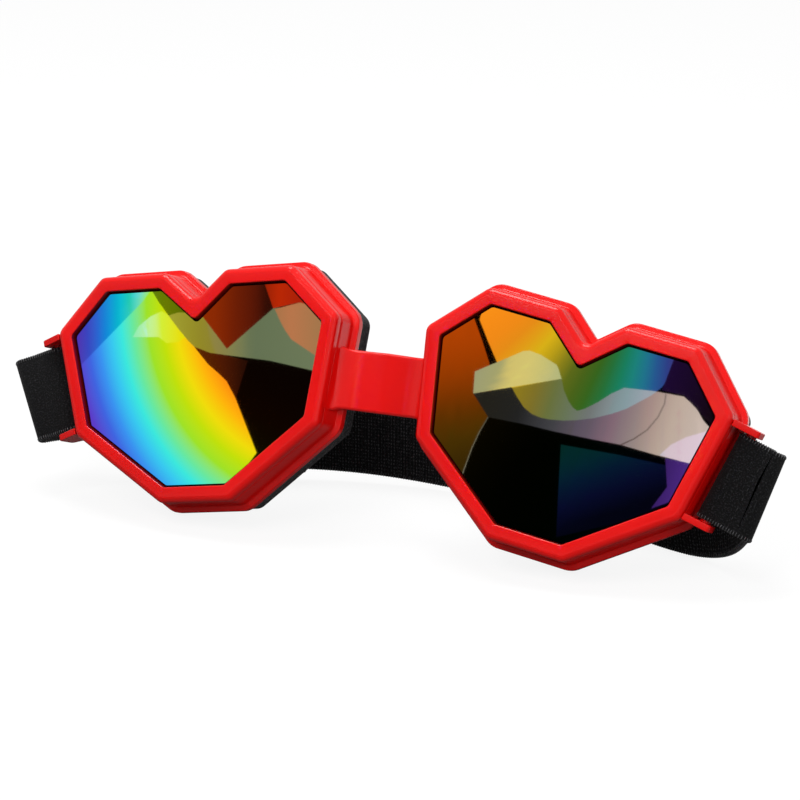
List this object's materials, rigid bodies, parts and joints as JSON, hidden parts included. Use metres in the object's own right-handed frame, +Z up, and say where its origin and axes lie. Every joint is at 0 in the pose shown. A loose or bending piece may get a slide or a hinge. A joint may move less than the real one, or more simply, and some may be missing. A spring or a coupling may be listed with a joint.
{
  "type": "heart shaped goggles",
  "caption": "Heart-shaped goggles with faceted eyecups, mirror lenses in front bezels, foam face pads and an elastic head strap looped on side bars with a slide adjuster.",
  "frame": {"origin": "on the floor under the middle of the bounding box, goggles leaning back on foam pads and strap as pictured", "axes": "+Z up, lenses face -Y and lean back, +X to the right as seen from in front of the lenses"},
  "size_m": [0.1854, 0.0508, 0.0603],
  "materials": {
    "red_plastic": "gloss moulded",
    "mirror_lens": "rainbow mirror coat",
    "foam_tape": "thin double-sided tape",
    "face_foam": "open foam with a brushed cloth face",
    "strap_webbing": "woven elastic",
    "thread": "sewing thread",
    "adjuster_plastic": "satin moulded"
  },
  "bodies": {
    "goggles": {"goggle_frame": "red_plastic", "left_bezel": "red_plastic", "left_lens": "mirror_lens", "left_foam_tape": "foam_tape", "left_foam": "face_foam", "right_bezel": "red_plastic", "right_lens": "mirror_lens", "right_foam_tape": "foam_tape", "right_foam": "face_foam", "strap_band": "strap_webbing", "strap_tail": "strap_webbing", "tail_hem_stitching": "thread"},
    "left_loop": {"left_strap_loop": "strap_webbing"},
    "right_loop": {"right_strap_loop": "strap_webbing", "right_loop_stitching": "thread"},
    "adjuster": {"strap_adjuster": "adjuster_plastic"}
  },
  "joints": [
    {"name": "left_loop_swing", "type": "hinge", "parent": "goggles", "child": "left_loop", "pos_m": [-0.08042, -0.00893, 0.02484], "axis": [-0.3516, 0.366, 0.8616], "range_deg": [-15, 15]},
    {"name": "right_loop_swing", "type": "hinge", "parent": "goggles", "child": "right_loop", "pos_m": [0.08042, -0.00893, 0.02484], "axis": [0.3516, 0.366, 0.8616], "range_deg": [-15, 15]},
    {"name": "adjuster_slide", "type": "slide", "parent": "goggles", "child": "adjuster", "axis": [0.9397, 0.342, 0], "range_m": [-0.006, 0.006]}
  ]
}
